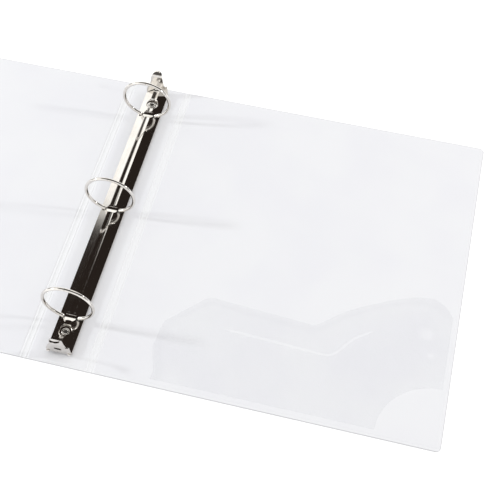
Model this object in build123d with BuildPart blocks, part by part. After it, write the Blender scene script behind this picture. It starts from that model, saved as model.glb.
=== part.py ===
"""Three-ring binder for US letter sheets, lying open, in millimetres.

X runs across the spine, Y along it, +Z is up. The underside of the outer vinyl is z = 0 and the
middle of the spine is x = y = 0. The front cover is on the -X side, the back cover on the +X side.
"""
import os
from math import acos, degrees, radians, sin, sqrt

from build123d import *

# Covers and spine
HEIGHT = 295.3              # along the spine
HINGE_X = 26.5              # hinge line from the middle of the spine
COVER_W = 270.0             # hinge line to the outer edge
VINYL = 0.3                 # one vinyl sheet
BOARD = 2.1                 # chipboard
TOP = 2 * VINYL + BOARD     # inner face of the open binder
WELD = 3.3                  # sealed rim outside the board
WEB = 4.0                   # flexible web from the hinge line to the board
WEB_GAP = 0.5               # each half of the web stops this far from the hinge line
CORNER_R = 4.0
BOARD_R = 2.0
EDGE_X = HINGE_X + COVER_W
HALF_Y = HEIGHT / 2

# Inside pockets
FILM = 0.25
POCKET_LOW = -141.5
POCKET_EDGE = 291.5
NOTCH_R = 45.0
CARD_SLOT = 1.6

# Rings, heights measured from the inner face
PITCH = 108.0               # US three-hole spacing
RING_Z = 26.5
RING_R = 20.45              # wire centreline, for a 38.1 mm inside diameter
WIRE_R = 1.4
LEG_X = 6.2
LEG_BEND = 2.2
LEG_FOOT = 0.8
TIP_ANGLE = 0.14            # half of the closed joint at the top of a ring
TIP_EDGE = 0.2

# Housing
HOUSING_HALF = 136.5
HOUSING_W = 20.0
CROWN_W = 5.2
CROWN_Z = 8.0
CROWN_DIP = 0.5
CROWN_EDGE = 0.9
SIDE_Z = 3.2
SHEET = 0.8
LIP_W = 1.6
SADDLE_R = 7.0
SADDLE_DEPTH = 1.3
SADDLE_HALF = 4.3
LEG_SLOT = (4.5, 8.6)
LEG_SLOT_Y = 3.6

# Eyelets
EYELET_Y = 121.0
SEAT_R = 4.8                # floor of the pressed seat
SEAT_FLARE = 0.5            # growth of its wall's radius per millimetre of height
SEAT_Z = 5.4
HEAD_R = 3.3
HEAD_EDGE = 0.3
HEAD_T = 1.1                # crest of the rolled head
SHANK_R = 2.2
BORE_R = 1.55
SHANK_HOLE_R = 2.25
FOOT_R = 3.2
FOOT_T = 0.45

# Hinge plates
PIVOT_X = 8.65
PIVOT_Z = 1.4
PLATE_T = 1.0
PLATE_TILT = 4.25           # the middle seam hangs this far down when the rings are closed
PLATE_HALF = 130.0
SEAM_X = 0.2
EYELET_ROOM_R = 4.2

# Levers, for the upper end
LEVER_Y = 134.0
LEVER_Z = 1.4
LEVER_PIN_R = 0.55
LEVER_PIN_HALF = 9.1
LEVER_T = 1.0
LEVER_W = 19.6
LEVER_NECK = 8.6
LEVER_EAR = (138.0, 3.2)     # middle of the rolled ear at each foot
LEVER_EAR_R = 1.2
LEVER_EAR_W = 2.4
LEVER_TOP = 27.0

SECTION = Plane(origin=(0, 0, TOP), x_dir=(1, 0, 0), z_dir=(0, -1, 0))
SIDE_VIEW = Plane(origin=(0, 0, TOP), x_dir=(0, 1, 0), z_dir=(1, 0, 0))
RINGS = {"lower": -PITCH, "middle": 0.0, "upper": PITCH}

pieces = []


def keep(name, shape):
    """Name a finished piece and hold it for export."""
    shape.label = name
    pieces.append(shape)


# ---- vinyl skins and boards ---------------------------------------------------------------------
def sheet(x0, x1, z0):
    """One vinyl sheet from x0 to x1 over the whole height, rounded at the binder's outer corners."""
    with BuildPart() as skin:
        with BuildSketch(Plane.XY.offset(z0)):
            with Locations(((x0 + x1) / 2, 0)):
                Rectangle(x1 - x0, HEIGHT)
            outer = [v for v in vertices() if abs(v.X) > EDGE_X - 1]
            if outer:
                fillet(outer, radius=CORNER_R)
        extrude(amount=VINYL)
    return skin.part


def slab(x0, x1, grow, z0, z1):
    """The board's outline between x0 and x1, grown by a margin, from z0 to z1."""
    with BuildPart() as block:
        with BuildSketch(Plane.XY.offset(z0)):
            with Locations(((x0 + x1) / 2, 0)):
                RectangleRounded(x1 - x0 + 2 * grow, HEIGHT - 2 * WELD + 2 * grow, BOARD_R + grow)
        extrude(amount=z1 - z0)
    return block.part


def panel(name, board_x, skin_x, holes=()):
    """A board, the tray-shaped outer vinyl around it and the inner vinyl over it."""
    with BuildPart() as board:
        add(slab(*board_x, 0, VINYL, VINYL + BOARD))
        for y in holes:
            with Locations((0, y, VINYL)):
                Cylinder(SHANK_HOLE_R, BOARD, align=(Align.CENTER, Align.CENTER, Align.MIN),
                         mode=Mode.SUBTRACT)
                Cylinder(FOOT_R + 0.1, FOOT_T, align=(Align.CENTER, Align.CENTER, Align.MIN),
                         mode=Mode.SUBTRACT)
    keep(name + "_board", board.part)

    with BuildPart() as outer:
        add(sheet(*skin_x, TOP - 2 * VINYL))
        add(slab(*board_x, VINYL, 0, TOP - VINYL))
        add(slab(*board_x, 0, VINYL, TOP), mode=Mode.SUBTRACT)
    keep(name + "_outer_vinyl", outer.part)

    with BuildPart() as inner:
        add(sheet(*skin_x, TOP - VINYL))
        for y in holes:
            with Locations((0, y, TOP)):
                Cylinder(SHANK_HOLE_R, 2, mode=Mode.SUBTRACT)
    keep(name + "_inner_vinyl", inner.part)


board_near = HINGE_X + WEB + VINYL
board_far = EDGE_X - WELD
web_near = HINGE_X + WEB_GAP
spine_board = HINGE_X - WEB - VINYL
spine_skin = HINGE_X - WEB_GAP
panel("front", (-board_far, -board_near), (-EDGE_X, -web_near))
panel("spine", (-spine_board, spine_board), (-spine_skin, spine_skin), (-EYELET_Y, EYELET_Y))
panel("back", (board_near, board_far), (web_near, EDGE_X))

# ---- pockets ------------------------------------------------------------------------------------
with BuildPart() as back_pocket:
    with BuildSketch(Plane.XY.offset(TOP)):
        with BuildLine():
            Line((73, POCKET_LOW), (74, -134))
            Spline((74, -134), (68.6, -116), (70.5, -90))
            Line((70.5, -90), (93, -66.5))
            Spline((93, -66.5), (97.5, -62), (103.5, -59.8))
            Line((103.5, -59.8), (182, -65.0))
            Spline((182, -65.0), (189, -63), (214, -42.5), (251.8, -23), (272.4, -18.2),
                   (284, -22.5), (POCKET_EDGE, -32))
            Line((POCKET_EDGE, -32), (POCKET_EDGE, POCKET_LOW + NOTCH_R))
            CenterArc((POCKET_EDGE, POCKET_LOW), NOTCH_R, 90, 90)
            Line((POCKET_EDGE - NOTCH_R, POCKET_LOW), (73, POCKET_LOW))
        make_face()
        with BuildLine():
            Line((119, -85.5), (198, -89))
            Spline((198, -89), (206, -86), (218, -70), (232.4, -58.8))
        trace(line_width=CARD_SLOT, mode=Mode.SUBTRACT)
    extrude(amount=FILM)
keep("back_pocket", back_pocket.part)
keep("front_pocket", mirror(back_pocket.part, about=Plane.YZ))

# ---- housing ------------------------------------------------------------------------------------
half_w = HOUSING_W / 2
half_c = CROWN_W / 2
fall = (CROWN_Z - SIDE_Z) / (half_w - half_c)
under = SHEET * sqrt(1 + fall ** 2)
wall_x = half_w - SHEET
wall_z = CROWN_Z - (wall_x - half_c) * fall - under
saddle_z = CROWN_Z - SADDLE_DEPTH + SADDLE_R

with BuildPart() as cavity:
    with BuildSketch(SECTION):
        with BuildLine():
            Polyline((half_c - 0.3, CROWN_Z - SHEET), (wall_x, wall_z), (wall_x, SHEET),
                     (half_w - LIP_W, SHEET), (half_w - LIP_W, -1), (LIP_W - half_w, -1),
                     (LIP_W - half_w, SHEET), (-wall_x, SHEET), (-wall_x, wall_z),
                     (0.3 - half_c, CROWN_Z - SHEET))
            ThreePointArc((0.3 - half_c, CROWN_Z - SHEET), (0, CROWN_Z - SHEET - CROWN_DIP),
                          (half_c - 0.3, CROWN_Z - SHEET))
        make_face()
    extrude(amount=HOUSING_HALF + 1, both=True)
    for y in RINGS.values():
        with BuildSketch(SIDE_VIEW):
            with Locations((y, saddle_z)):
                Circle(SADDLE_R + SHEET)
        extrude(amount=SADDLE_HALF, both=True, mode=Mode.SUBTRACT)
    with Locations((0, -EYELET_Y, TOP + SEAT_Z - SHEET), (0, EYELET_Y, TOP + SEAT_Z - SHEET)):
        Cone(SEAT_R + SHEET, SEAT_R + SHEET + SEAT_FLARE * CROWN_Z, CROWN_Z,
             align=(Align.CENTER, Align.CENTER, Align.MIN), mode=Mode.SUBTRACT)

with BuildPart() as housing:
    with BuildSketch(SECTION):
        with BuildLine():
            Polyline((half_c, CROWN_Z), (half_w, SIDE_Z), (half_w, 0), (-half_w, 0),
                     (-half_w, SIDE_Z), (-half_c, CROWN_Z))
            ThreePointArc((-half_c, CROWN_Z), (0, CROWN_Z - CROWN_DIP), (half_c, CROWN_Z))
        make_face()
        fillet([v for v in vertices() if abs(abs(v.X) - half_w) < 0.1 and v.Z > TOP + 1], radius=1.0)
        fillet([v for v in vertices() if v.Z > TOP + CROWN_Z - 0.1], radius=CROWN_EDGE)
    extrude(amount=HOUSING_HALF, both=True)
    add(cavity.part, mode=Mode.SUBTRACT)
    for y in RINGS.values():
        with BuildSketch(SIDE_VIEW):
            with Locations((y, saddle_z)):
                Circle(SADDLE_R)
        extrude(amount=half_w, both=True, mode=Mode.SUBTRACT)
        with BuildSketch(Plane.XY.offset(TOP + SHEET)):
            with Locations((-sum(LEG_SLOT) / 2, y), (sum(LEG_SLOT) / 2, y)):
                SlotOverall(LEG_SLOT[1] - LEG_SLOT[0], LEG_SLOT_Y)
        extrude(amount=CROWN_Z, mode=Mode.SUBTRACT)
    with Locations((0, -EYELET_Y, TOP + SEAT_Z), (0, EYELET_Y, TOP + SEAT_Z)):
        Cone(SEAT_R, SEAT_R + SEAT_FLARE * CROWN_Z, CROWN_Z,
             align=(Align.CENTER, Align.CENTER, Align.MIN), mode=Mode.SUBTRACT)
        Cylinder(SHANK_HOLE_R, 3, mode=Mode.SUBTRACT)
keep("housing", housing.part)

# ---- eyelets ------------------------------------------------------------------------------------
foot_z = VINYL - TOP
for end, y in {"lower": -EYELET_Y, "upper": EYELET_Y}.items():
    with BuildPart() as eyelet:
        with BuildSketch(SECTION):
            with BuildLine():
                Polyline((BORE_R, foot_z), (FOOT_R, foot_z), (FOOT_R, foot_z + FOOT_T),
                         (SHANK_R, foot_z + FOOT_T), (SHANK_R, SEAT_Z), (HEAD_R, SEAT_Z),
                         (HEAD_R, SEAT_Z + HEAD_EDGE))
                ThreePointArc((HEAD_R, SEAT_Z + HEAD_EDGE),
                              ((HEAD_R + BORE_R) / 2, SEAT_Z + HEAD_T),
                              (BORE_R, SEAT_Z + HEAD_EDGE))
                Line((BORE_R, SEAT_Z + HEAD_EDGE), (BORE_R, foot_z))
            make_face()
        revolve(axis=Axis.Z)
    keep(end + "_eyelet", Pos(0, y, 0) * eyelet.part)

# ---- hinge plates -------------------------------------------------------------------------------
with BuildPart() as left_plate:
    with BuildSketch(SECTION):
        with Locations((-PIVOT_X, PIVOT_Z)):
            Rectangle(PIVOT_X - SEAM_X, PLATE_T, rotation=-PLATE_TILT,
                      align=(Align.MIN, Align.CENTER))
            Circle(PLATE_T / 2)
    extrude(amount=PLATE_HALF, both=True)
    for y in RINGS.values():
        with Locations((-LEG_X, y, TOP + PIVOT_Z)):
            Cylinder(WIRE_R + 0.02, 6, mode=Mode.SUBTRACT)
    with Locations((0, -EYELET_Y, TOP + PIVOT_Z), (0, EYELET_Y, TOP + PIVOT_Z)):
        Cylinder(EYELET_ROOM_R, 6, mode=Mode.SUBTRACT)
keep("left_hinge_plate", left_plate.part)
keep("right_hinge_plate", mirror(left_plate.part, about=Plane.YZ))

# ---- half rings ---------------------------------------------------------------------------------
bend_angle = degrees(acos((LEG_X + LEG_BEND) / (RING_R + LEG_BEND)))
bend_z = RING_Z - (RING_R + LEG_BEND) * sin(radians(bend_angle))

with BuildPart() as half_ring:
    with BuildLine(SECTION) as wire:
        CenterArc((0, RING_Z), RING_R, 90 + TIP_ANGLE, 90 + bend_angle - TIP_ANGLE)
        CenterArc((-LEG_X - LEG_BEND, bend_z), LEG_BEND, bend_angle, -bend_angle)
        Line((-LEG_X, bend_z), (-LEG_X, LEG_FOOT))
    with BuildSketch(Plane(origin=wire.line @ 0, z_dir=wire.line % 0)):
        Circle(WIRE_R)
    sweep()
    tip = faces().filter_by(GeomType.PLANE).sort_by(Axis.X)[-1]
    chamfer(tip.edges(), length=TIP_EDGE)

for place, y in RINGS.items():
    left = Pos(0, y, 0) * half_ring.part
    keep(place + "_left_ring", left)
    keep(place + "_right_ring", mirror(left, about=Plane.YZ))

# ---- levers -------------------------------------------------------------------------------------
with BuildPart() as blade:
    with BuildLine(SIDE_VIEW) as rise:
        FilletPolyline((137.6, 2.4), (139.2, 24.2), (143.2, 27.2), radius=2.5)
    with BuildSketch(Plane(origin=rise.line @ 0, x_dir=(1, 0, 0), z_dir=rise.line % 0)):
        Rectangle(LEVER_W, LEVER_T)
    sweep()
    with BuildSketch(SECTION):
        with BuildLine():
            Polyline((9.8, 6.0), (9.8, 2), (-9.8, 2), (-9.8, 6.0))
            Spline((-9.8, 6.0), (-7.4, 13.0), (-5.6, 19.0), (-4.3, 25.0), (0, LEVER_TOP),
                   tangents=[(0, 1), (1, 0)])
            Spline((0, LEVER_TOP), (4.3, 25.0), (5.6, 19.0), (7.4, 13.0), (9.8, 6.0),
                   tangents=[(1, 0), (0, -1)])
        make_face()
        with Locations((0, 9.2)):
            SlotOverall(6.0, 2.8, mode=Mode.SUBTRACT)
    extrude(amount=-200, mode=Mode.INTERSECT)
    for x in (-LEVER_W / 2, LEVER_W / 2 - LEVER_EAR_W):
        with Locations(Location((x, LEVER_EAR[0], TOP + LEVER_EAR[1]), (0, 90, 0))):
            Cylinder(LEVER_EAR_R, LEVER_EAR_W, align=(Align.CENTER, Align.CENTER, Align.MIN))

with BuildPart() as upper_lever:
    with BuildLine(SIDE_VIEW) as neck:
        FilletPolyline((131.2, LEVER_Z), (LEVER_Y, LEVER_Z), (138.0, 5.4), radius=1.5)
    with BuildSketch(Plane(origin=neck.line @ 0, x_dir=(1, 0, 0), z_dir=neck.line % 0)):
        Rectangle(LEVER_NECK, LEVER_T)
    sweep()
    add(blade.part)
    with Locations(Location((0, LEVER_Y, TOP + LEVER_Z), (0, 90, 0))):
        Cylinder(LEVER_PIN_R, 2 * LEVER_PIN_HALF)
keep("upper_lever", upper_lever.part)
keep("lower_lever", mirror(upper_lever.part, about=Plane.XZ))

os.makedirs("parts", exist_ok=True)
for piece in pieces:
    export_step(piece, "parts/" + piece.label + ".step")
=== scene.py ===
"""Looks of the open ring binder: vinyl skins, clear pockets and plated ring metal.

Everything is in metres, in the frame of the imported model: X across the spine, Y along it, +Z up.
"""

from math import cos, radians, sin

import bpy
import numpy as np
from mathutils import Matrix, Vector


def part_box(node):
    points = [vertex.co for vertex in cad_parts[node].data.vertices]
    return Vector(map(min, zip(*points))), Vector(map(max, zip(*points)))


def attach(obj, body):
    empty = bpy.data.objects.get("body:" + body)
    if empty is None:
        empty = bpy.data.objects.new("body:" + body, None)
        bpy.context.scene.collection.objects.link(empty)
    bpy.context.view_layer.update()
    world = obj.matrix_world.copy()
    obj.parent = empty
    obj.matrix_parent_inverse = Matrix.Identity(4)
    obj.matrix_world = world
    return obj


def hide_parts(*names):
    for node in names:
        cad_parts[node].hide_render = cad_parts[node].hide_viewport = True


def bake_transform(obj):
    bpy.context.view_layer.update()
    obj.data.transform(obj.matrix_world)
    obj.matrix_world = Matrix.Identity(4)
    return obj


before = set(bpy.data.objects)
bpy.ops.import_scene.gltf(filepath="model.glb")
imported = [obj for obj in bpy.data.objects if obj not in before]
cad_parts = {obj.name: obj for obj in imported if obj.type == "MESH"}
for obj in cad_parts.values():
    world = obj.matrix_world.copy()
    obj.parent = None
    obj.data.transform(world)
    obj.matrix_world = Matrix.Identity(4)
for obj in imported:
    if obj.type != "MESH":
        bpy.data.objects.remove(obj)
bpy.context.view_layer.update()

MM = 0.001
EDGE_X, HALF_Y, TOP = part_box("back_inner_vinyl")[1]     # outer corner of the cover, inner face up
SPINE_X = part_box("spine_board")[1][0]                   # edge of the spine board
board_low, board_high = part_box("back_board")
BOARD_X0 = board_low[0]                                 # cover board, hinge side
BOARD_X1, BOARD_Y = board_high[:2]                      # cover board, outer corner
CORNER = 4.0 * MM                                       # rounding of the covers' outer corners


# ---- node helpers -------------------------------------------------------------------------------
def node(tree, kind, inputs=None, **settings):
    """Add a node, set its properties, and set or link its inputs."""
    made = tree.nodes.new(kind)
    for key, value in settings.items():
        setattr(made, key, value)
    for key, value in (inputs or {}).items():
        socket = made.inputs[key]
        if isinstance(value, bpy.types.NodeSocket):
            tree.links.new(value, socket)
        else:
            socket.default_value = value
    return made


def calc(tree, operation, a, b=0.0):
    """One scalar operation on two values or sockets."""
    return node(tree, "ShaderNodeMath", {0: a, 1: b}, operation=operation).outputs[0]


def ramp(tree, value, low, high, to_low=0.0, to_high=1.0, smooth=True):
    """Map a value from low..high to another range, clamped."""
    kind = "SMOOTHSTEP" if smooth else "LINEAR"
    return node(tree, "ShaderNodeMapRange", {"Value": value, "From Min": low, "From Max": high,
                                             "To Min": to_low, "To Max": to_high},
                interpolation_type=kind).outputs["Result"]


def mix(tree, factor, a, b):
    """Mix two colours."""
    made = node(tree, "ShaderNodeMix", data_type="RGBA")
    for index, value in ((0, factor), (6, a), (7, b)):
        if isinstance(value, bpy.types.NodeSocket):
            tree.links.new(value, made.inputs[index])
        else:
            made.inputs[index].default_value = value
    return made.outputs[2]


def new_group(name, inputs, outputs):
    """Start a shader node group; returns its tree, its input node and a function for its outputs."""
    tree = bpy.data.node_groups.new(name, "ShaderNodeTree")
    for label, kind, default in inputs:
        socket = tree.interface.new_socket(label, in_out="INPUT", socket_type=kind)
        socket.default_value = default
    for label, kind in outputs:
        tree.interface.new_socket(label, in_out="OUTPUT", socket_type=kind)
    source = tree.nodes.new("NodeGroupInput")
    sink = tree.nodes.new("NodeGroupOutput")

    def give(label, socket):
        tree.links.new(socket, sink.inputs[label])
    return tree, source, give


def use_group(tree, group, inputs=None):
    """Place a node group in a material."""
    return node(tree, "ShaderNodeGroup", inputs, node_tree=group)


def new_material(name):
    """A material with one Principled BSDF and Object coordinates."""
    material = bpy.data.materials.new(name)
    material.use_nodes = True
    tree = material.node_tree
    shader = tree.nodes["Principled BSDF"]
    place = node(tree, "ShaderNodeTexCoord").outputs["Object"]
    return material, tree, shader, place


# ---- shared effects -----------------------------------------------------------------------------
def make_vinyl_grain():
    """Fine pressed grain, slow waviness and handling marks of sheet vinyl."""
    tree, source, give = new_group(
        "vinyl_grain",
        [("Vector", "NodeSocketVector", (0, 0, 0)), ("Grain Size", "NodeSocketFloat", 900.0),
         ("Marks", "NodeSocketFloat", 0.5)],
        [("Height", "NodeSocketFloat"), ("Marks", "NodeSocketFloat"), ("Tone", "NodeSocketFloat")])
    place = source.outputs["Vector"]
    grain = node(tree, "ShaderNodeTexVoronoi", {"Vector": place, "Scale": source.outputs["Grain Size"]},
                 feature="SMOOTH_F1")
    fine = node(tree, "ShaderNodeTexNoise", {"Vector": place, "Scale": 2600.0, "Detail": 3.0})
    slow = node(tree, "ShaderNodeTexNoise", {"Vector": place, "Scale": 14.0, "Detail": 2.0})
    height = calc(tree, "ADD", calc(tree, "MULTIPLY", grain.outputs["Distance"], 0.35),
                  calc(tree, "MULTIPLY", fine.outputs["Fac"], 0.25))
    give("Height", height)
    smear = node(tree, "ShaderNodeTexNoise", {"Vector": place, "Scale": 22.0, "Detail": 6.0,
                                              "Roughness": 0.62, "Distortion": 0.6})
    streak_place = node(tree, "ShaderNodeMapping", {"Vector": place, "Rotation": (0, 0, 0.5),
                                                    "Scale": (30.0, 420.0, 30.0)})
    streak = node(tree, "ShaderNodeTexNoise", {"Vector": streak_place.outputs[0], "Scale": 1.0,
                                               "Detail": 2.0})
    scuffs = calc(tree, "MULTIPLY", ramp(tree, streak.outputs["Fac"], 0.64, 0.76),
                  ramp(tree, smear.outputs["Fac"], 0.5, 0.68))
    marks = calc(tree, "ADD", calc(tree, "MULTIPLY", smear.outputs["Fac"], 0.6), scuffs)
    give("Marks", calc(tree, "MULTIPLY", marks, source.outputs["Marks"]))
    give("Tone", slow.outputs["Fac"])
    return tree


def make_plating():
    """Bright plating: slow ripple from the rolled strip, faint drawn lines and small specks."""
    tree, source, give = new_group(
        "plating",
        [("Vector", "NodeSocketVector", (0, 0, 0)), ("Line Stretch", "NodeSocketVector", (1, 1, 1))],
        [("Height", "NodeSocketFloat"), ("Haze", "NodeSocketFloat"), ("Specks", "NodeSocketFloat")])
    place = source.outputs["Vector"]
    drawn_place = node(tree, "ShaderNodeVectorMath", {0: place, 1: source.outputs["Line Stretch"]},
                       operation="MULTIPLY")
    drawn = node(tree, "ShaderNodeTexNoise", {"Vector": drawn_place.outputs[0], "Scale": 1.0,
                                              "Detail": 3.0})
    ripple = node(tree, "ShaderNodeTexNoise", {"Vector": place, "Scale": 160.0, "Detail": 1.0})
    height = calc(tree, "ADD", calc(tree, "MULTIPLY", drawn.outputs["Fac"], 0.12),
                  ripple.outputs["Fac"])
    give("Height", height)
    haze = node(tree, "ShaderNodeTexNoise", {"Vector": place, "Scale": 75.0, "Detail": 5.0,
                                             "Roughness": 0.6})
    give("Haze", calc(tree, "ADD", calc(tree, "MULTIPLY", haze.outputs["Fac"], 0.6),
                      calc(tree, "MULTIPLY", drawn.outputs["Fac"], 0.4)))
    specks = node(tree, "ShaderNodeTexVoronoi", {"Vector": place, "Scale": 420.0})
    give("Specks", ramp(tree, specks.outputs["Distance"], 0.10, 0.04))
    return tree


VINYL_GRAIN = make_vinyl_grain()
PLATING = make_plating()


# ---- materials ----------------------------------------------------------------------------------
VINYL_COOL, VINYL_WARM = (0.808, 0.808, 0.832, 1), (0.825, 0.827, 0.842, 1)
# The second colour on the next line is painted shade: a grey line along the vinyl's cut edge, in place of
# the edge's own shade and its contact shadow.
WELD_WHITE, PAINTED_EDGE_SHADE = (0.850, 0.853, 0.862, 1), (0.55, 0.55, 0.56, 1)
FILM_COOL, FILM_WARM, FILM_PRESSED = (0.60, 0.61, 0.66, 1), (0.66, 0.67, 0.71, 1), (0.74, 0.74, 0.76, 1)
FILM_COVER, FILM_EDGE_COVER = 0.036, 0.014      # how much the film hides, and how much more at its edge
NICKEL, NICKEL_SHADE = (0.80, 0.775, 0.745, 1), (0.72, 0.69, 0.655, 1)
PLATE, PLATE_SHADE = (0.62, 0.62, 0.62, 1), (0.5, 0.5, 0.5, 1)
FIBRE_DARK, FIBRE_LIGHT = (0.30, 0.26, 0.20, 1), (0.50, 0.45, 0.37, 1)


def make_vinyl():
    """Opaque white sheet vinyl with a soft sheen, paler at the welds; painted shade greys the cut rim."""
    material, tree, shader, place = new_material("white_vinyl")
    grain = use_group(tree, VINYL_GRAIN, {"Vector": place, "Grain Size": 900.0, "Marks": 1.0})
    weld = node(tree, "ShaderNodeAttribute", attribute_name="weld").outputs["Fac"]
    painted_edge_shade = node(tree, "ShaderNodeAttribute", attribute_name="painted_edge_shade").outputs["Fac"]
    tone = mix(tree, ramp(tree, grain.outputs["Tone"], 0.35, 0.65), VINYL_COOL, VINYL_WARM)
    tone = mix(tree, weld, tone, WELD_WHITE)
    # Painted shade: the outermost strip of the rim is greyed to draw the cut edge's shade and contact
    # shadow.
    tone = mix(tree, painted_edge_shade, tone, PAINTED_EDGE_SHADE)
    tree.links.new(tone, shader.inputs["Base Color"])
    tree.links.new(ramp(tree, grain.outputs["Marks"], 0.2, 0.9, 0.36, 0.50, False),
                   shader.inputs["Roughness"])
    bump = node(tree, "ShaderNodeBump", {"Height": grain.outputs["Height"], "Strength": 0.35,
                                         "Distance": 0.00004})
    tree.links.new(bump.outputs[0], shader.inputs["Normal"])
    shader.inputs["Specular IOR Level"].default_value = 0.45
    return material


def make_film():
    """Clear vinyl film: see-through, hazier along its free edges, clearest in patches where it clings."""
    material, tree, shader, place = new_material("clear_film")
    grain = use_group(tree, VINYL_GRAIN, {"Vector": place, "Grain Size": 500.0, "Marks": 1.0})
    band = node(tree, "ShaderNodeAttribute", attribute_name="band").outputs["Fac"]
    cling_place = node(tree, "ShaderNodeMapping", {"Vector": place, "Scale": (1.0, 1.0, 0.0)})
    patches = node(tree, "ShaderNodeTexNoise", {"Vector": cling_place.outputs[0], "Scale": 17.0,
                                                "Detail": 4.0, "Distortion": 1.4})
    pressed = node(tree, "ShaderNodeAttribute", attribute_name="cling").outputs["Fac"]
    cling = calc(tree, "ADD", patches.outputs["Fac"], calc(tree, "MULTIPLY", pressed, 0.4))
    cling = ramp(tree, cling, 0.62, 0.84)
    tone = mix(tree, ramp(tree, grain.outputs["Tone"], 0.35, 0.65), FILM_COOL, FILM_WARM)
    tone = mix(tree, cling, tone, FILM_PRESSED)
    tree.links.new(tone, shader.inputs["Base Color"])
    cover = calc(tree, "ADD", FILM_COVER, calc(tree, "MULTIPLY", band, FILM_EDGE_COVER))
    cover = calc(tree, "MULTIPLY", cover, ramp(tree, cling, 0.0, 1.0, 1.0, 0.4, False))
    tree.links.new(cover, shader.inputs["Alpha"])
    tree.links.new(ramp(tree, grain.outputs["Marks"], 0.2, 0.9, 0.12, 0.30, False),
                   shader.inputs["Roughness"])
    ripple = node(tree, "ShaderNodeTexNoise", {"Vector": place, "Scale": 34.0, "Detail": 2.0})
    bump = node(tree, "ShaderNodeBump", {"Height": ripple.outputs["Fac"], "Strength": 0.5,
                                         "Distance": 0.0005})
    tree.links.new(bump.outputs[0], shader.inputs["Normal"])
    shader.inputs["IOR"].default_value = 1.5
    return material


def make_metal(name, light, shade, rough_low, rough_high, stretch, ripple):
    """Plated steel with haze, faint drawn lines and specks darker and browner than the shade."""
    material, tree, shader, place = new_material(name)
    plating = use_group(tree, PLATING, {"Vector": place, "Line Stretch": stretch})
    tone = mix(tree, ramp(tree, plating.outputs["Haze"], 0.35, 0.65), light, shade)
    tone = mix(tree, calc(tree, "MULTIPLY", plating.outputs["Specks"], 0.5), tone,
               (shade[0] * 0.5, shade[1] * 0.48, shade[2] * 0.45, 1))
    tree.links.new(tone, shader.inputs["Base Color"])
    tree.links.new(ramp(tree, plating.outputs["Haze"], 0.3, 0.7, rough_low, rough_high, False),
                   shader.inputs["Roughness"])
    shader.inputs["Metallic"].default_value = 1.0
    bump = node(tree, "ShaderNodeBump", {"Height": plating.outputs["Height"], "Strength": 0.4,
                                         "Distance": ripple})
    tree.links.new(bump.outputs[0], shader.inputs["Normal"])
    return material


def make_chipboard():
    """Grey-brown chipboard with short pressed fibres."""
    material, tree, shader, place = new_material("chipboard")
    fibre_place = node(tree, "ShaderNodeMapping", {"Vector": place, "Scale": (260.0, 900.0, 900.0)})
    fibre = node(tree, "ShaderNodeTexNoise", {"Vector": fibre_place.outputs[0], "Scale": 1.0,
                                              "Detail": 6.0, "Distortion": 1.5})
    tone = mix(tree, ramp(tree, fibre.outputs["Fac"], 0.35, 0.65), FIBRE_DARK, FIBRE_LIGHT)
    tree.links.new(tone, shader.inputs["Base Color"])
    shader.inputs["Roughness"].default_value = 0.9
    bump = node(tree, "ShaderNodeBump", {"Height": fibre.outputs["Fac"], "Strength": 0.5,
                                         "Distance": 0.0001})
    tree.links.new(bump.outputs[0], shader.inputs["Normal"])
    return material


VINYL = make_vinyl()
FILM = make_film()
ALONG = (900, 14, 900)                  # drawn lines run along the binder
STRIP = make_metal("housing_nickel", NICKEL, NICKEL_SHADE, 0.05, 0.11, ALONG, 0.000012)
WIRE = make_metal("ring_nickel", NICKEL, NICKEL_SHADE, 0.06, 0.12, (500, 500, 500), 0.000008)
STAMPED = make_metal("lever_nickel", NICKEL, NICKEL_SHADE, 0.07, 0.14, (300, 300, 300), 0.000014)
STEEL = make_metal("plate_steel", PLATE, PLATE_SHADE, 0.2, 0.35, ALONG, 0.00001)
CHIPBOARD = make_chipboard()

FINISH = {"housing": STRIP, "left_hinge_plate": STEEL, "right_hinge_plate": STEEL,
          "upper_lever": STAMPED, "lower_lever": STAMPED, "upper_eyelet": STAMPED,
          "lower_eyelet": STAMPED, "front_board": CHIPBOARD, "spine_board": CHIPBOARD,
          "back_board": CHIPBOARD}
for row in ("lower", "middle", "upper"):
    for hand in ("left", "right"):
        FINISH[f"{row}_{hand}_ring"] = WIRE
for name, material in FINISH.items():
    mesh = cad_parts[name].data
    mesh.materials.clear()
    mesh.materials.append(material)


# ---- surfaces -----------------------------------------------------------------------------------
def smooth(t):
    """Smoothstep of t clamped to 0..1."""
    t = np.clip(t, 0.0, 1.0)
    return t * t * (3 - 2 * t)


def bell(t, middle, width):
    """Gaussian bump of height 1."""
    return np.exp(-((t - middle) / width) ** 2)


def graded(stops):
    """Coordinates through the given (position, steps) stops, in even steps between each pair."""
    runs = [np.linspace(a, b, count, endpoint=False)
            for (a, _), (b, count) in zip(stops[:-1], stops[1:])]
    return np.append(np.concatenate(runs), stops[-1][0])


def through(points, t):
    """A polyline or dense curve through the points, at fractions t of its length."""
    points = np.asarray(points, float)
    run = np.append(0.0, np.cumsum(np.hypot(*np.diff(points, axis=0).T)))
    return np.stack([np.interp(t * run[-1], run, points[:, k]) for k in (0, 1)], -1)


def curve(points, count=40):
    """A smooth curve through the points: a Catmull-Rom cubic between each pair."""
    p = np.asarray(points, float)
    p = np.concatenate([2 * p[:1] - p[1:2], p, 2 * p[-1:] - p[-2:-1]])
    t = np.linspace(0, 1, count, endpoint=False)[None, :, None]
    a, b, c, d = (p[k:len(p) - 3 + k, None, :] for k in range(4))
    run = 0.5 * (2 * b + (c - a) * t + (2 * a - 5 * b + 4 * c - d) * t ** 2
                 + (3 * b - a - 3 * c + d) * t ** 3)
    return np.concatenate([run.reshape(-1, 2), p[-2:-1]])


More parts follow.
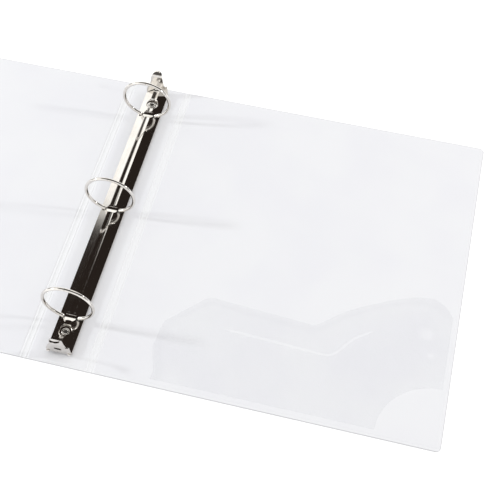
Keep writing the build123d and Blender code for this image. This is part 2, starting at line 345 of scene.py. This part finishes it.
def closed_shell(name, top, bottom, material, masks, keep=None):
    """A closed mesh from two grids of the same shape, top and bottom.

    Faces outside the keep mask are left out, and every open edge, outside or round a hole, gets a
    wall from the top grid to the bottom grid. Each mask becomes a point attribute.
    """
    rows, columns = top.shape[:2]
    index = np.arange(rows * columns).reshape(rows, columns)
    upper = np.stack([index[:-1, :-1], index[1:, :-1], index[1:, 1:], index[:-1, 1:]], -1)
    upper = upper.reshape(-1, 4) if keep is None else upper[keep]
    edges = np.stack([upper, np.roll(upper, -1, 1)], -1).reshape(-1, 2)
    count = rows * columns
    open_edge = ~np.isin(edges[:, 0] * count + edges[:, 1], edges[:, 1] * count + edges[:, 0])
    a, b = edges[open_edge].T
    faces = np.concatenate([upper, upper[:, ::-1] + count, np.stack([b, a, a + count, b + count], -1)])
    points = np.concatenate([top.reshape(-1, 3), bottom.reshape(-1, 3)])
    used = np.unique(faces)
    renumber = np.zeros(len(points), int)
    renumber[used] = np.arange(len(used))
    mesh = bpy.data.meshes.new(name)
    mesh.from_pydata(points[used].tolist(), [], renumber[faces].tolist())
    mesh.update()
    for label, mask in masks.items():
        values = np.tile(mask.reshape(-1), 2)[used].astype(np.float32)
        mesh.attributes.new(label, "FLOAT", "POINT").data.foreach_set("value", values)
    mesh.shade_smooth()
    mesh.set_sharp_from_angle(angle=radians(38))
    mesh.materials.append(material)
    made = bpy.data.objects.new(name, mesh)
    bpy.context.collection.objects.link(made)
    return made


# ---- vinyl skins --------------------------------------------------------------------------------
Y_LINES = graded([(-HALF_Y, 0), (-BOARD_Y - 0.5 * MM, 14), (-BOARD_Y + 2 * MM, 10),
                  (-BOARD_Y + 16 * MM, 8), (BOARD_Y - 16 * MM, 64), (BOARD_Y - 2 * MM, 8),
                  (BOARD_Y + 0.5 * MM, 10), (HALF_Y, 14)])


def round_corners(x, y, side):
    """Bend the grid's two outer corner squares into quarter discs.

    In a corner square with unit coordinates (a, b), a point goes to
    (a * sqrt(1 - b^2 / 2), b * sqrt(1 - a^2 / 2)).
    """
    a = np.clip((np.abs(x) - (EDGE_X - CORNER)) / CORNER, 0, 1) * (x * side > 0)
    b = np.clip((np.abs(y) - (HALF_Y - CORNER)) / CORNER, 0, 1)
    bent_a = a * np.sqrt(1 - b * b / 2)
    bent_b = b * np.sqrt(1 - a * a / 2)
    return x + side * (bent_a - a) * CORNER, y + np.sign(y) * (bent_b - b) * CORNER


def make_skin(name, lines, side=0):
    """Sealed vinyl of one panel: the inner sheet above, the outer sheet below, welded all round.

    d is the distance outside the board at the rim, t the fraction across the hinge web, e the
    distance in from the nearest board edge. Over a board the top is a low cushion with a slow
    ripple. Past the rim it eases down to the weld, with one fine bead beside the board and one
    near the cut edge, while the bottom rises to meet it. Across the web the two sheets close to
    a thin strip with two raised beads.
    """
    x, y = np.meshgrid(lines, Y_LINES, indexing="ij")
    across = np.abs(x)
    t = (across - SPINE_X) / (BOARD_X0 - SPINE_X)
    d = np.maximum(np.abs(y) - BOARD_Y, across - BOARD_X1)
    e = np.clip(np.minimum(-d, np.maximum(SPINE_X - across, across - BOARD_X0)), 0, None)
    web = smooth(t / 0.2) * smooth((1 - t) / 0.2)
    beads = bell(t, 0.27, 0.085) + bell(t, 0.73, 0.085)
    ripple = (np.sin(x * 61 + np.sin(y * 23) * 1.3) * np.sin(y * 47 + 1.1)
              + 0.6 * np.sin(x * 29 - y * 37))
    cushion = 0.10 * MM * smooth(e / (14 * MM)) + 0.03 * MM * ripple * smooth(e / (10 * MM))
    web_drop = web * (0.42 - 0.34 * beads) * MM
    rim_drop = 0.24 * MM * smooth((d + 0.6 * MM) / (2.4 * MM))
    rim_beads = (0.10 * MM * bell(d, 0.5 * MM, 0.45 * MM)
                 + 0.14 * MM * bell(d, 2.3 * MM, 0.45 * MM))
    top = TOP - 0.16 * MM + cushion - web_drop - rim_drop + rim_beads
    bottom = 1.5 * MM * np.maximum(smooth((d + 0.2 * MM) / (1.4 * MM)), web)
    weld = np.clip(web + 0.3 * smooth((d - 0.3 * MM) / (1.0 * MM)), 0, 1)
    # Painted shade: a mask for the last strip of the rim, from 2.75 mm past the board outwards, to be
    # greyed as the edge's shade and contact shadow.
    painted_edge_shade = smooth((d - 2.75 * MM) / (0.3 * MM))
    if side:
        x, y = round_corners(x, y, side)
    return closed_shell(name, np.stack([x, y, top], -1), np.stack([x, y, bottom], -1), VINYL,
                        {"weld": weld, "painted_edge_shade": painted_edge_shade})


seam = SPINE_X + 0.3 * MM               # where a cover's skin and the spine's skin meet
cover_lines = graded([(seam, 0), (BOARD_X0 + 0.3 * MM, 56), (BOARD_X0 + 14 * MM, 12),
                      (BOARD_X1 - 14 * MM, 60), (BOARD_X1 - 2 * MM, 8), (BOARD_X1 + 0.5 * MM, 10),
                      (EDGE_X, 16)])
spine_lines = graded([(-seam, 0), (-SPINE_X + 2 * MM, 8), (SPINE_X - 2 * MM, 40), (seam, 8)])
back_skin = make_skin("back_cover_skin", cover_lines, 1)
front_skin = make_skin("front_cover_skin", -cover_lines[::-1], -1)
spine_skin = make_skin("spine_skin", spine_lines)
for skin, panel in ((front_skin, "front"), (back_skin, "back"), (spine_skin, "spine")):
    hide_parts(panel + "_inner_vinyl", panel + "_outer_vinyl")
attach(spine_skin, "spine")
for skin, side, body in ((front_skin, -1, "front_cover"), (back_skin, 1, "back_cover")):
    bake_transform(skin)


# ---- clear pockets ------------------------------------------------------------------------------
# Measures of the back pocket are in millimetres; the front one is its mirror image.
POCKET_X, POCKET_Y = 291.5, -141.5      # outer and lower weld, which cross at the notch's centre
NOTCH_R = 45                            # radius of the notch cut out of that corner
SLIT_X = (119, 232)                     # ends of the card slit
SLIT_HALF = 1.1                         # half width of the open slit
FILM_T = 0.2                            # thickness of the film


def patch(low, high, left, right, u, v):
    """A sheet over four boundary curves, low(u), high(u), left(v) and right(v): a Coons patch.

    It is the blend from low to high, plus the blend from left to right, less the bilinear blend
    of the four corners.
    """
    u3, v3 = u[:, None, None], v[None, :, None]
    lo, hi = through(low, u)[:, None], through(high, u)[:, None]
    le, ri = through(left, v)[None], through(right, v)[None]
    corners = ((1 - u3) * (1 - v3) * lo[0] + u3 * (1 - v3) * lo[-1]
               + (1 - u3) * v3 * hi[0] + u3 * v3 * hi[-1])
    return (1 - v3) * lo + v3 * hi + (1 - u3) * le + u3 * ri - corners


def make_pocket(name, side):
    """Clear film pocket: two patches that meet along the card slit, open between its ends.

    The notch is a quarter circle and the other edges are smooth curves through their points. Each
    patch starts from the slit's line moved sideways by half of its opening, which eases to almost
    nothing at the ends. The film stands off the cover by a slow swell, the product of two sine
    waves, which fades out at the welded bottom and outer edge, and is lower along the free edges
    and the slit.
    """
    turn = np.linspace(np.pi, np.pi / 2, 30)
    notch = np.stack([POCKET_X + NOTCH_R * np.cos(turn), POCKET_Y + NOTCH_R * np.sin(turn)], -1)
    low = np.concatenate([[[73, POCKET_Y], [POCKET_X - NOTCH_R, POCKET_Y]], notch])
    left_low = curve([(73, POCKET_Y), (74, -134), (68.6, -116), (68.9, -104)])
    left_high = curve([(68.9, -104), (70.5, -90)], 8)
    middle = np.concatenate([curve([(68.9, -104), (92, -92), (119, -85.5)]), [(198, -89)],
                             curve([(198, -89), (206, -86), (218, -70), (232.4, -58.8)]),
                             curve([(232.4, -58.8), (262, -50), (POCKET_X, -48)])])
    high = np.concatenate([[[70.5, -90]], curve([(93, -66.5), (97.5, -62), (103.5, -59.8)]),
                           curve([(182, -65.0), (189, -63), (214, -42.5), (251.8, -23),
                                  (272.4, -18.2), (284, -22.5), (POCKET_X, -32)])])
    right_low = [(POCKET_X, POCKET_Y + NOTCH_R), (POCKET_X, -48)]
    right_high = [(POCKET_X, -48), (POCKET_X, -32)]
    u = graded([(0, 0), (0.0036, 3), (0.9964, 180), (1, 3)])
    v_low = graded([(0, 0), (0.014, 3), (0.986, 44), (1, 3)])
    v_high = graded([(0, 0), (0.03, 3), (0.97, 26), (1, 3)])
    seat = through(middle, u)
    slit = (seat[:, 0] > SLIT_X[0]) & (seat[:, 0] < SLIT_X[1])
    opening = (smooth((seat[:, 0] - SLIT_X[0] + 2) / 8)
               * smooth((SLIT_X[1] + 2 - seat[:, 0]) / 8))
    ahead = np.gradient(seat, axis=0)
    normal = np.stack([-ahead[:, 1], ahead[:, 0]], -1) / np.hypot(*ahead.T)[:, None]
    gap = normal * (0.05 + (SLIT_HALF - 0.05) * opening)[:, None]
    lower = patch(low, seat - gap, left_low, right_low, u, v_low)
    upper = patch(seat + gap, high, left_high, right_high, u, v_high)
    flat = np.concatenate([lower, upper], 1)
    rows = np.arange(flat.shape[1] - 1)
    keep = ~((rows == len(v_low) - 1)[None, :] & (slit[:-1] & slit[1:])[:, None])

    x, y = flat[..., 0], flat[..., 1]
    from_side = x - x[:1]
    from_top = np.abs(y[:, -1:] - y)
    from_weld = np.minimum(y - y[:, :1], POCKET_X - x)
    free = np.minimum(from_side, from_top)
    near_slit = bell(y, seat[:, 1:], 6) * opening[:, None]
    slow = 0.55 + 0.35 * np.sin(x / 21 + y / 35) * np.sin(y / 17 - x / 60)
    swell = smooth(from_weld / 30) * slow * (0.45 + 0.55 * smooth(free / 26))
    z = TOP / MM + 0.03 + swell * (1 - 0.6 * near_slit)
    cling = bell(x, 274, 6.5) * bell(y, -52, 5.5) + 0.8 * bell(x, 279, 4) * bell(y, -70, 3.5)
    band = bell(free, 4.5, 3.2)
    top = np.stack([side * x, y, z + FILM_T], -1) * MM
    bottom = np.stack([side * x, y, z], -1) * MM
    if side < 0:
        top, bottom, keep = top[::-1], bottom[::-1], keep[::-1]
        band, cling = band[::-1], cling[::-1]
    pocket = closed_shell(name, top, bottom, FILM, {"band": band, "cling": cling}, keep)
    return pocket


back_film = make_pocket("back_pocket_film", 1)
front_film = make_pocket("front_pocket_film", -1)
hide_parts("back_pocket")
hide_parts("front_pocket")
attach(back_film, "back_cover")
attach(front_film, "front_cover")


# ---- floor, light and camera --------------------------------------------------------------------
def make_floor():
    """A wide pale floor."""
    reach, level = 8.0, -0.1 * MM
    corners = [(a * reach, b * reach, level) for a, b in ((-1, -1), (1, -1), (1, 1), (-1, 1))]
    mesh = bpy.data.meshes.new("floor")
    mesh.from_pydata(corners, [], [(0, 1, 2, 3)])
    floor = bpy.data.objects.new("floor", mesh)
    bpy.context.collection.objects.link(floor)
    material, _, shader, _ = new_material("floor_paper")
    shader.inputs["Base Color"].default_value = (0.64, 0.64, 0.64, 1)
    shader.inputs["Roughness"].default_value = 0.9
    shader.inputs["Specular IOR Level"].default_value = 0.1
    shader.inputs["Emission Color"].default_value = (1, 1, 1, 1)
    shader.inputs["Emission Strength"].default_value = 0.55
    mesh.materials.append(material)


CEILING, FRONT_WALL, LEFT_WALL = (0.024, 0.018, 0.015, 1), (1.05, 1.05, 1.04, 1), (1.20, 1.20, 1.20, 1)
RIGHT_WALL, SWEEP, BELOW = (0.70, 0.69, 0.67, 1), (1.35, 1.34, 1.30, 1), (0.8, 0.8, 0.8, 1)
ROOM_LIGHT, BACKDROP = (0.885, 0.885, 0.891, 1), (1.0, 1.0, 1.0, 1)


def make_studio():
    """Surroundings: even soft light, and for reflections a white sweep behind under a dark ceiling.

    Directions are compass angles from +X towards +Y, and up is the sine of the elevation. The
    sweep reaches from 60 degrees round to a limit, which leans outwards between 10 and 22 degrees
    of elevation and back inwards above 24. The front, left and right walls are soft-edged patches
    of the surroundings.
    """
    world = bpy.data.worlds.new("studio")
    bpy.context.scene.world = world
    world.use_nodes = True
    tree = world.node_tree
    tree.nodes.clear()
    direction = node(tree, "ShaderNodeTexCoord").outputs["Generated"]
    parts = node(tree, "ShaderNodeSeparateXYZ", {"Vector": direction})
    up = parts.outputs["Z"]

    def facing(angle):
        """Sine of the turn from a compass direction to the ray, positive to its right."""
        side = (sin(radians(angle)), -cos(radians(angle)), 0)
        return node(tree, "ShaderNodeVectorMath", {0: direction, 1: side},
                    operation="DOT_PRODUCT").outputs["Value"]

    compass = calc(tree, "ARCTAN2", parts.outputs["Y"], parts.outputs["X"])
    above = calc(tree, "MAXIMUM", calc(tree, "SUBTRACT", calc(tree, "ARCSINE", up), radians(24)))
    limit = ramp(tree, up, sin(radians(10)), sin(radians(22)), radians(147.5), radians(151.5))
    limit = calc(tree, "SUBTRACT", limit, calc(tree, "MULTIPLY", above, 1.1))
    sweep = calc(tree, "MULTIPLY", ramp(tree, calc(tree, "SUBTRACT", limit, compass), -0.01, 0.03),
                 ramp(tree, facing(60.0), 0.05, -0.05))
    sweep = calc(tree, "MULTIPLY", sweep, ramp(tree, up, 0.79, 0.72))
    front = calc(tree, "MULTIPLY", ramp(tree, parts.outputs["Y"], -0.25, -0.75),
                 ramp(tree, up, 0.90, 0.60))
    left = calc(tree, "MULTIPLY", ramp(tree, facing(160.0), 0.0, -0.1),
                ramp(tree, facing(240.0), 0.0, 0.1))
    left_height = calc(tree, "MULTIPLY", ramp(tree, up, 0.22, 0.30), ramp(tree, up, 0.77, 0.68))
    left = calc(tree, "MULTIPLY", left, left_height)
    right = calc(tree, "MULTIPLY", ramp(tree, facing(22.0), 0.0, 0.1),
                 ramp(tree, facing(-45.0), 0.0, -0.1))
    right = calc(tree, "MULTIPLY", right, ramp(tree, up, 0.60, 0.50))
    low = ramp(tree, up, 0.02, -0.02)
    shade = mix(tree, front, CEILING, FRONT_WALL)
    shade = mix(tree, left, shade, LEFT_WALL)
    shade = mix(tree, right, shade, RIGHT_WALL)
    shade = mix(tree, sweep, shade, SWEEP)
    shade = mix(tree, low, shade, BELOW)
    path = node(tree, "ShaderNodeLightPath")
    colour = mix(tree, path.outputs["Is Diffuse Ray"], shade, ROOM_LIGHT)
    colour = mix(tree, path.outputs["Is Camera Ray"], colour, BACKDROP)
    back = node(tree, "ShaderNodeBackground", {"Color": colour, "Strength": 1.0})
    out = node(tree, "ShaderNodeOutputWorld")
    tree.links.new(back.outputs[0], out.inputs["Surface"])


def make_softbox(name, azimuth, elevation, distance, size, power, colour):
    """A rectangular area light aimed at the middle of the spine, by compass angle and elevation."""
    light = bpy.data.lights.new(name, "AREA")
    light.shape = "RECTANGLE"
    light.size, light.size_y = size
    light.energy = power
    light.color = colour
    lamp = bpy.data.objects.new(name, light)
    a, e = radians(azimuth), radians(elevation)
    aim = Vector((cos(a) * cos(e), sin(a) * cos(e), sin(e)))
    lamp.location = aim * distance
    lamp.rotation_euler = aim.to_track_quat("Z", "Y").to_euler()
    bpy.context.collection.objects.link(lamp)


LENS = 76.64
DISTANCE = 0.8779
AIM = (0.0986, -0.0123, TOP)            # on the back cover, beside the rings


def make_camera():
    """A long lens from the front right, high above the back cover.

    Yaw turns the view from +Y towards +X, pitch is how far it looks down and roll tips it.
    """
    yaw, pitch, roll = radians(-13.81), radians(55.79), radians(0.27)
    forward = Vector((sin(yaw) * cos(pitch), cos(yaw) * cos(pitch), -sin(pitch)))
    right = Vector((cos(yaw), -sin(yaw), 0))
    above = right.cross(forward)
    right, above = (right * cos(roll) + above * sin(roll), above * cos(roll) - right * sin(roll))
    camera = bpy.data.cameras.new("camera")
    camera.sensor_width = 36.0
    camera.lens = LENS
    camera.shift_x = 0.055
    camera.shift_y = -0.0014
    camera.clip_start = 0.01
    camera.clip_end = 50.0
    view = bpy.data.objects.new("camera", camera)
    turn = Matrix((right, above, -forward)).transposed().to_4x4()
    place = Vector(AIM) - forward * DISTANCE
    view.matrix_world = Matrix.Translation(place) @ turn
    bpy.context.collection.objects.link(view)
    bpy.context.scene.camera = view


make_floor()
make_studio()
make_softbox("left_softbox", 188, 27, 1.6, (0.12, 0.10), 7.5, (0.95, 0.98, 1.0))
make_softbox("right_softbox", 10, 27, 1.6, (0.10, 0.08), 4.5, (1.0, 0.99, 0.98))
make_camera()
bpy.context.scene.view_settings.view_transform = "Standard"
